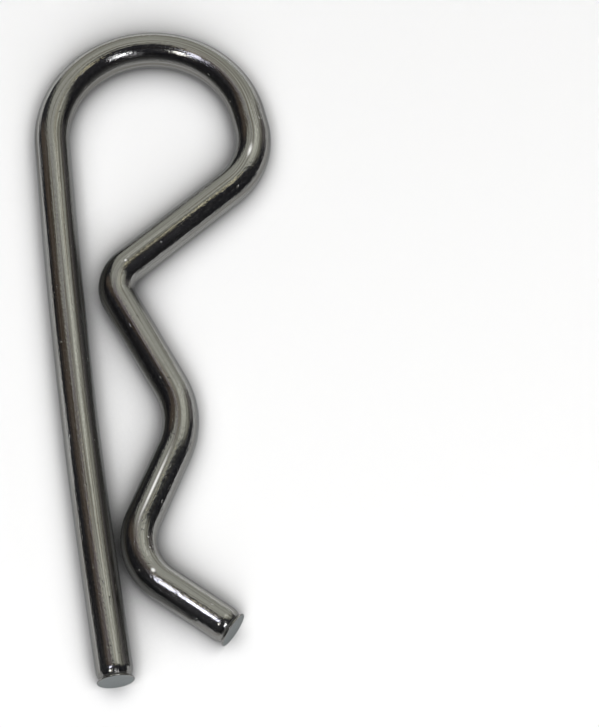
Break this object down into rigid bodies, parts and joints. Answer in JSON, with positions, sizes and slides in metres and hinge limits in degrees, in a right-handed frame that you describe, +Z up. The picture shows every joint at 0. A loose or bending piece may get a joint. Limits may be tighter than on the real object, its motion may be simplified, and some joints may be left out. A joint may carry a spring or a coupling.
{
  "type": "r clip hitch pin",
  "caption": "R shaped retaining clip bent from round spring wire: a straight leg for a cross hole, a round loop, and a grip leg that closes over a shaft and flares at its end.",
  "frame": {"origin": "middle of the clip's outline seen from above, at the level of the surface that it lies on", "axes": "+Y along the straight leg, from its tip to the loop; +X from the straight leg to the grip leg; +Z up, square to the flat clip"},
  "size_m": [0.0276, 0.0744, 0.004],
  "materials": {
    "plated_wire": "bright plated spring wire with faint drawing lines"
  },
  "bodies": {
    "root": {"clip_wire": "plated_wire"}
  },
  "joints": []
}
